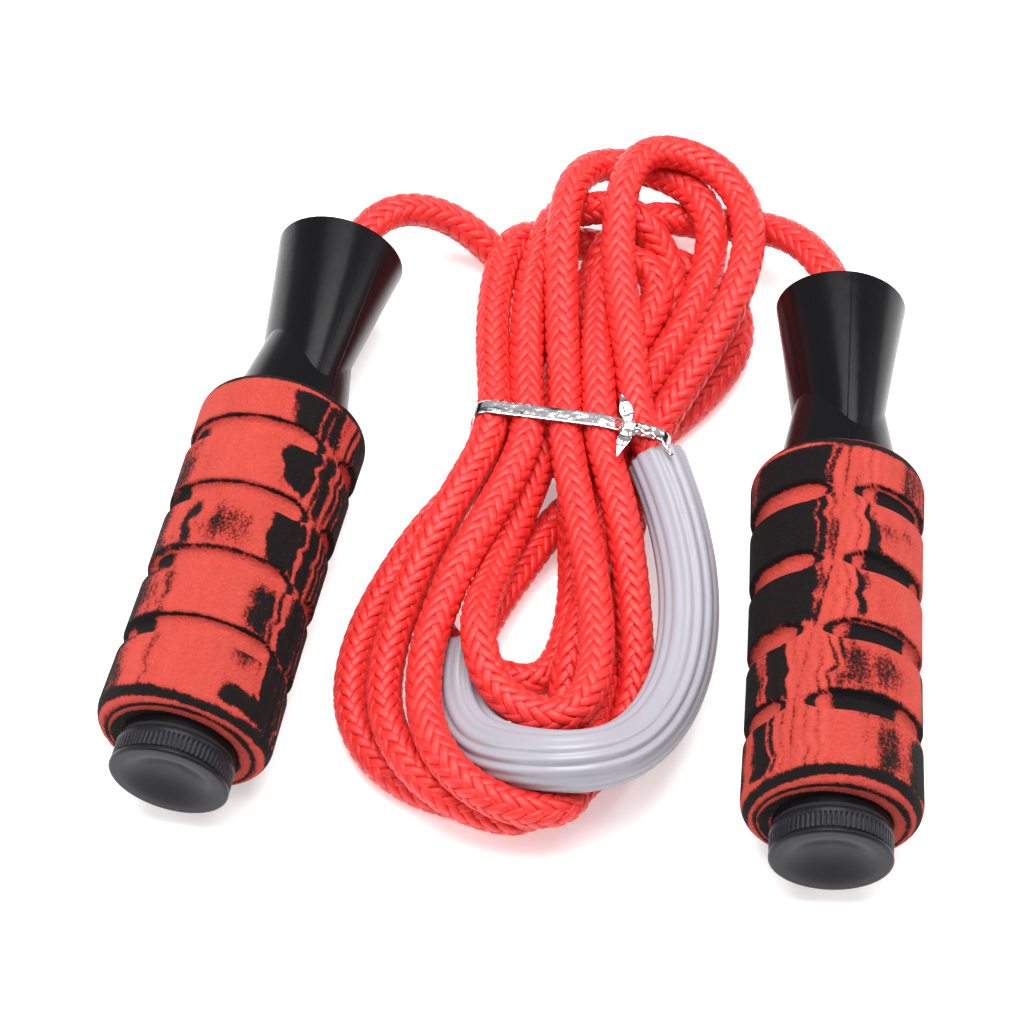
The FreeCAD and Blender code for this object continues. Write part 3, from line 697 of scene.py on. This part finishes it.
def grip_rings(side):
    """Radius and station of the grip's rings, its angles, and its depth below the ribs."""
    turn = np.arange(GRIP_ANGLES) * (360 / GRIP_ANGLES) - 180
    station = np.linspace(GRIP_START, GRIP_END, GRIP_STATIONS)
    seam = np.interp(station, SEAM_STATIONS, HANDLES[side]["seam"])
    beside = np.abs((np.abs(angle_from(turn[None], seam[:, None])) + 90) % 180 - 90)
    fade = np.clip(beside / 24, 0, 1)
    fade = fade * fade * (3 - 2 * fade)
    span = (station - GRIP_START) / (GRIP_END - GRIP_START)
    plain = GRIP_RADIUS - GRIP_WAIST * np.sin(math.pi * span)
    from_end = np.minimum(station - GRIP_START, GRIP_END - station)
    ending = np.clip(1 - from_end / GRIP_END_ROUND, 0, 1)
    plain = plain - GRIP_END_INSET * (1 - np.sqrt(1 - ending ** 2))
    depth = np.zeros((len(station), len(turn)))
    for groove in GROOVES:
        half = GROOVE_HALF * (0.25 + 0.75 * fade)
        shape = np.clip(1 - (np.abs(station[:, None] - groove) / half) ** 5, 0, 1)
        depth = np.maximum(depth, GROOVE_DEPTH * shape * fade)
    crease = 0.3 * np.exp(-(beside / 2.0) ** 2)
    radius = plain[:, None] - depth - crease
    inset = GRIP_END_INSET * (1 - np.sqrt(1 - ending ** 2))
    return station, turn, seam, radius, depth, beside, inset


def soft_box(value, low, high, soft):
    """1 inside a range, fading to 0 outside it."""
    inside = np.minimum(value - low, high - value)
    return np.clip(0.5 + inside / soft, 0, 1)


def make_grip(side):
    """Marbled foam grip with five ribs, four grooves that fade out at its mould seams, and rounded ends."""
    station, turn, seam, radius, depth, beside, inset = grip_rings(side)
    wander = 5.0 * ripple(station[:, None] * 0.12, turn[None] * 0.02, 2.2)
    angle = turn[None] + wander
    dark = np.full(radius.shape, -0.55)
    for start, end, first, last, strength, soft in PATCHES[side]:
        within = soft_box(station[:, None] + 0.4 * wander, start, end, 1.5 + 4 * soft)
        within = within * soft_box(angle, first, last, 4 + 14 * soft)
        dark = dark + within * (strength + 0.35 * math.copysign(1, strength))
    side_band = np.clip(1 - np.abs(beside - 15) / 16, 0, 1)
    streak = np.sin(np.radians(angle) * 46 + 2.6 * ripple(station[:, None] * 0.09, turn[None] * 0.01, 0.9))
    dark = np.clip(dark + 0.55 * side_band * streak, -1, 1)
    # Inside the grooves the colour is set anew: a dark line along each groove wall, partly the foam's own
    # colour and partly painted shade under the rib edges, a red floor, and a dark lens on the floor between the
    # given angles from the seam.
    share = np.clip(depth / 0.5, 0, 1)
    groove_line_and_shade = 1.25 * np.exp(-((depth - 0.9) / 0.55) ** 2)
    lens = soft_box(angle_from(angle, seam[:, None]), *HANDLES[side]["dark_lens"], 12) * (depth > 1.6)
    dark = dark * (1 - share) + (groove_line_and_shade - 0.65 + 1.4 * lens) * share
    dark = dark + 0.5 * np.exp(-(beside / 1.1) ** 2)
    sway = np.sin(np.radians(2 * (turn[None] - seam[:, None])))
    layered = 0.85 * np.sin(inset[:, None] * 2.3 + 1.1 * sway - 0.4)
    ended = np.clip(inset[:, None] / 0.3, 0, 1)
    dark = dark * (1 - ended) + layered * ended
    end_radii = np.linspace(GRIP_INNER, radius[0].mean(), 12)[:-1]
    end_sway = 1.8 * np.sin(np.radians(turn) * 1.0 + 0.6)
    layers = [0.9 * np.sin((r - GRIP_INNER) * 1.35 + end_sway + 0.9) for r in end_radii]
    rings = [(np.full(len(turn), r), GRIP_START, layer) for r, layer in zip(end_radii, layers)]
    rings += [(radius[k], station[k], dark[k]) for k in range(len(station))]
    rings += [(np.full(len(turn), r), GRIP_END, layer) for r, layer in zip(end_radii[::-1], layers[::-1])]
    across, upright = np.cos(np.radians(turn)), np.sin(np.radians(turn))
    grid = np.stack([np.stack([r * across, r * upright, np.full(len(turn), z)], 1) for r, z, _ in rings])
    made = grid_object("grip_foam_" + side, grid[:, ::-1] * MM, True, True)
    shade = made.data.attributes.new("dark", "FLOAT", "POINT")
    shade.data.foreach_set("value", np.stack([d for _, _, d in rings])[:, ::-1].astype(np.float32).ravel())
    made.matrix_world = handle_frame(side)
    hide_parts("foam_grip_" + side)
    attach(made, "handle_" + side)
    return made


CAP_KNURLS = 72
# Outline of the end cap from its dish round to the inside of its plug: radius, station, knurl depth.
CAP_EDGE = [
    (12.9, 0.0, 0), (13.3, 0.12, 0), (13.5, 0.4, 0), (13.5, 0.9, 0), (13.3, 1.05, 0), (13.0, 1.15, 0),
    (13.0, 1.4, 0), (13.3, 1.5, 0.1), (13.42, 1.65, 0.3), (13.42, 4.9, 0.3), (13.42, 5.0, 0.0),
    (13.42, 6.3, 0), (13.25, 6.56, 0), (10.92, 6.56, 0), (10.92, 14.8, 0), (10.6, 15.1, 0),
    (8.6, 15.1, 0), (8.5, 14.8, 0), (8.5, 4.9, 0), (8.2, 4.6, 0), (0.02, 4.6, 0),
]
DISH_RADIUS = 11.2
DISH_DEPTH = 2.6


def make_cap(side):
    """Knurled end cap with a softly dished face and the plug that screws into the tube."""
    outline = [(r, DISH_DEPTH * (0.5 + 0.5 * math.cos(math.pi * (r / DISH_RADIUS) ** 1.35)), 0)
               for r in np.linspace(0.02, DISH_RADIUS, 26)]
    outline += [(12.2, 0.0, 0)] + CAP_EDGE
    steps = CAP_KNURLS * 6
    turn = np.arange(steps) * 2 * math.pi / steps
    ridge = np.abs(np.sin(turn * CAP_KNURLS / 2)) ** 0.6 - 1
    rings = []
    for (r, z, knurl), (next_r, next_z, next_knurl) in zip(outline, outline[1:]):
        for share in (0.0, 0.5):
            radius = r + (next_r - r) * share + ridge * (knurl + (next_knurl - knurl) * share)
            height = z + (next_z - z) * share
            rings.append(np.stack([radius * np.cos(turn), radius * np.sin(turn), turn * 0 + height], 1))
    made = grid_object("cap_knurled_" + side, np.array(rings) * MM, True, False)
    made.matrix_world = handle_frame(side)
    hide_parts("end_cap_" + side)
    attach(made, "cap_" + side)
    return made


def foam_material():
    """Red and black marbled EVA foam: the dark attribute, which also carries the painted shade along the groove
    walls, broken up by noise, chooses the colour.
    """
    made, tree, shader = new_material("marbled_eva", (0.8, 0.05, 0.03), 0.88)
    shader.inputs["Specular IOR Level"].default_value = 0.12
    place = node(tree, "TexCoord").outputs["Object"]
    dark = node(tree, "Attribute", attribute_name="dark").outputs["Fac"]
    streaks = noise(tree, place, 130, 5.0, 0.65, (1.6, 1.6, 0.45))
    specks = noise(tree, place, 1500, 4.0, 0.75)
    first = node(tree, "Math", operation="MULTIPLY_ADD")
    first.inputs[1].default_value = 1.5
    tree.links.new(streaks, first.inputs[0])
    tree.links.new(dark, first.inputs[2])
    second = node(tree, "Math", operation="MULTIPLY_ADD")
    second.inputs[1].default_value = 1.5
    tree.links.new(specks, second.inputs[0])
    tree.links.new(first.outputs[0], second.inputs[2])
    third = node(tree, "Math", operation="MULTIPLY")
    third.inputs[1].default_value = 0.333
    tree.links.new(second.outputs[0], third.inputs[0])
    color = ramp(tree, third.outputs[0], [
        (0.0, (0.76, 0.112, 0.086)), (0.44, (0.62, 0.070, 0.052)), (0.515, (0.24, 0.022, 0.018)),
        (0.56, (0.014, 0.010, 0.010)), (1.0, (0.008, 0.007, 0.008))])
    tree.links.new(color, shader.inputs["Base Color"])
    bump(tree, shader, noise(tree, place, 1100, 4.0, 0.75), 0.9, 0.0022)
    return made


def plastic_material(name, color, rough, grain, gleam):
    """Moulded plastic with a faint uneven gloss."""
    made, tree, shader = new_material(name, color, rough)
    place = node(tree, "TexCoord").outputs["Object"]
    gloss = node(tree, "MapRange")
    shader.inputs["Specular IOR Level"].default_value = gleam
    gloss.inputs["To Min"].default_value = rough - 0.05
    gloss.inputs["To Max"].default_value = rough + 0.08
    tree.links.new(noise(tree, place, 90, 4.0), gloss.inputs["Value"])
    tree.links.new(gloss.outputs["Result"], shader.inputs["Roughness"])
    bump(tree, shader, noise(tree, place, grain, 2.0), 0.08, 0.0002)
    return made


def metal_material(name, color, rough, stretch):
    """Machined metal with fine tool marks."""
    made, tree, shader = new_material(name, color, rough, 1.0)
    place = node(tree, "TexCoord").outputs["Object"]
    marks = noise(tree, place, 900, 3.0, 0.7, stretch)
    tone = ramp(tree, marks, [(0.2, tuple(c * 0.8 for c in color)), (0.8, color)])
    tree.links.new(tone, shader.inputs["Base Color"])
    bump(tree, shader, marks, 0.15, 0.0001)
    return made


# First station of the mould line, the station it stays short of, and its step.
MOULD_LINE = (100.0, 147.6, 0.8)
MOULD_LINE_RADIUS = 0.17
BEYOND_THE_BODY = 30


def mould_seam(side, opposite):
    """Thin raised mould line along the neck and horn of one handle, found on the CAD surface."""
    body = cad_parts["handle_body_" + side]
    tree = BVHTree.FromPolygons([v.co for v in body.data.vertices], [p.vertices for p in body.data.polygons])
    local = handle_frame(side)
    line = []
    for station in np.arange(*MOULD_LINE):
        turn = math.radians(float(np.interp(station, SEAM_STATIONS, HANDLES[side]["seam"])) + opposite)
        outward = local.to_3x3() @ Vector((math.cos(turn), math.sin(turn), 0))
        start = local @ Vector((0, 0, station * MM)) + outward * BEYOND_THE_BODY * MM
        hit = tree.ray_cast(start, -outward)[0]
        if hit is not None:
            line.append(np.array(hit) / MM)
    made = grid_object(f"mould_seam_{side}_{'b' if opposite else 'a'}",
                       round_tube(smoothed(np.array(line), 2), MOULD_LINE_RADIUS, CORE_SIDES) * MM)
    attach(made, "handle_" + side)
    return made


black_plastic = plastic_material("black_plastic_look", (0.004, 0.004, 0.005), 0.24, 700, 0.12)
cap_plastic = plastic_material("cap_plastic_look", (0.008, 0.008, 0.011), 0.34, 1400, 0.14)
rubber = plastic_material("seal_rubber_look", (0.012, 0.012, 0.012), 0.7, 1800, 0.2)
steel = metal_material("bearing_steel_look", (0.62, 0.63, 0.65), 0.2, (1, 1, 6))
brass = metal_material("cage_brass_look", (0.72, 0.52, 0.22), 0.3, (3, 1, 1))
spring = metal_material("spring_steel_look", (0.22, 0.22, 0.24), 0.35, (1, 4, 1))
zinc = metal_material("zinc_steel_look", (0.66, 0.67, 0.69), 0.3, (1, 1, 5))
NODE_LOOKS = {
    "handle_body": black_plastic, "cap_seal": rubber, "bearing_outer_race": steel,
    "bearing_inner_race": steel, "bearing_balls": steel, "bearing_cage": brass, "retaining_ring": spring,
    "swivel_spindle": zinc, "spindle_washer": zinc, "spindle_locknut": zinc,
}
foam_look = foam_material()
for side in HANDLES:
    for node_name, look in NODE_LOOKS.items():
        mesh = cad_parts[f"{node_name}_{side}"].data
        mesh.materials.clear()
        mesh.materials.append(look)
    paint(make_grip(side), foam_look)
    paint(make_cap(side), cap_plastic)
    for opposite in (0, 180):
        paint(mould_seam(side, opposite), black_plastic)

rope_look = rope_material()
# The core is a real part of the rope; its darker red is painted shade for the gaps between the yarns, where it
# shows.
core_gap_shade_look, _, _ = new_material("rope_core_look", (0.25, 0.006, 0.004), 0.7)
foil_look = foil_material()
paint(core, core_gap_shade_look)
for part in braid:
    paint(part, rope_look)
for part in (band, knot, *leaves, tail):
    paint(part, foil_look)
paint(sleeve, sleeve_material())

# ---------------------------------------------------------------- floor and light
FLOOR_HALF = 4
FLOOR_Z = -0.0006
floor_corners = [[[x, y, FLOOR_Z] for x in (-FLOOR_HALF, FLOOR_HALF)] for y in (-FLOOR_HALF, FLOOR_HALF)]
floor = grid_object("floor", np.array(floor_corners, float), False, False)
floor_look, _, _ = new_material("floor_pale", (0.93, 0.93, 0.93), 0.9)
floor_look.node_tree.nodes["Principled BSDF"].inputs["Emission Color"].default_value = (1, 1, 1, 1)
floor_look.node_tree.nodes["Principled BSDF"].inputs["Emission Strength"].default_value = 0.34
floor.data.materials.append(floor_look)


def area_light(name, place, aim, width, height, power):
    """A soft rectangular light that faces a point."""
    data = bpy.data.lights.new(name, "AREA")
    data.shape = "RECTANGLE"
    data.size, data.size_y = width, height
    data.energy = power
    lamp = bpy.data.objects.new(name, data)
    lamp.location = place
    lamp.rotation_euler = (Vector(aim) - Vector(place)).to_track_quat("-Z", "Y").to_euler()
    scene.collection.objects.link(lamp)
    return lamp


AIM = (0, 0, 0.02)
area_light("light_over", (0.0, 0.15, 1.1), AIM, 0.9, 0.9, 22)
area_light("light_left", (-0.9, -0.1, 0.6), AIM, 0.35, 0.9, 5)
area_light("light_right", (0.9, 0.2, 0.6), AIM, 0.35, 0.9, 4.5)
world = bpy.data.worlds.new("studio")
world.use_nodes = True
world.node_tree.nodes["Background"].inputs["Color"].default_value = (1, 1, 1, 1)
world.node_tree.nodes["Background"].inputs["Strength"].default_value = 0.36
scene.world = world
